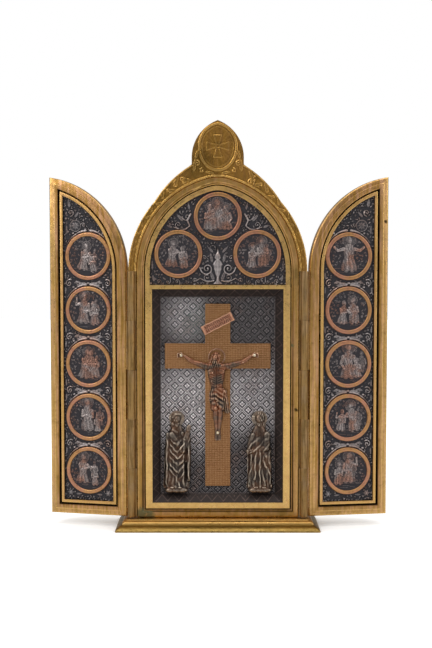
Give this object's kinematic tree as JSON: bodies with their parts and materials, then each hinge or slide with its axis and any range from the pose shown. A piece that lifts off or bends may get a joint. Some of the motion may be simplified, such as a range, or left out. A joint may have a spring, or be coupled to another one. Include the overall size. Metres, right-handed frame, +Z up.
{
  "type": "triptych altarpiece",
  "caption": "Arched brass triptych altarpiece on a stepped base, with relief medallions, a crucifixion in a sunk field and two hinged doors.",
  "frame": {"origin": "middle of the base's underside", "axes": "+Z up, the open front faces -Y, +X to the viewer's right"},
  "size_m": [0.2739, 0.0536, 0.3268],
  "materials": {
    "brass_frame": "aged, hand-worn satin",
    "brass_hinge": "dulled satin",
    "hinge_pin": "dull",
    "struck_medallion": "dark patinated relief, polished copper-pink ring",
    "dark_relief_plate": "dark silvered relief, polished rim",
    "copper_cross": "brown copper, finely lined",
    "copper_title": "pinkish copper",
    "bright_nail": "polished head",
    "dark_bronze_figure": "dark bronze patina, rubbed highlights"
  },
  "bodies": {
    "case": {"base": "brass_frame", "case_shell": "brass_frame", "front_moulding": "brass_frame", "crest": "brass_frame", "centre_relief_plate": "dark_relief_plate", "centre_medallion_top": "struck_medallion", "centre_medallion_left": "struck_medallion", "centre_medallion_right": "struck_medallion", "cross": "copper_cross", "crucified_figure": "dark_bronze_figure", "nail_left": "bright_nail", "nail_right": "bright_nail", "nail_feet": "bright_nail", "title_scroll": "copper_title", "left_mourner": "dark_bronze_figure", "right_mourner": "dark_bronze_figure", "left_hinge_case_leaf": "brass_hinge", "left_hinge_pin": "hinge_pin", "right_hinge_case_leaf": "brass_hinge", "right_hinge_pin": "hinge_pin"},
    "left_door": {"left_door_frame": "brass_frame", "left_door_plate": "dark_relief_plate", "left_door_medallion_1": "struck_medallion", "left_door_medallion_2": "struck_medallion", "left_door_medallion_3": "struck_medallion", "left_door_medallion_4": "struck_medallion", "left_door_medallion_5": "struck_medallion", "left_hinge_door_leaf": "brass_hinge"},
    "right_door": {"right_door_frame": "brass_frame", "right_door_plate": "dark_relief_plate", "right_door_medallion_1": "struck_medallion", "right_door_medallion_2": "struck_medallion", "right_door_medallion_3": "struck_medallion", "right_door_medallion_4": "struck_medallion", "right_door_medallion_5": "struck_medallion", "right_hinge_door_leaf": "brass_hinge"}
  },
  "joints": [
    {"name": "left_door_hinge", "type": "hinge", "parent": "case", "child": "left_door", "pos_m": [-0.0694, -0.01015, 0.1], "axis": [0, 0, 1], "range_deg": [-31.5, 193.5]},
    {"name": "right_door_hinge", "type": "hinge", "parent": "case", "child": "right_door", "pos_m": [0.0694, -0.01015, 0.1], "axis": [0, 0, -1], "range_deg": [-36, 189]}
  ]
}
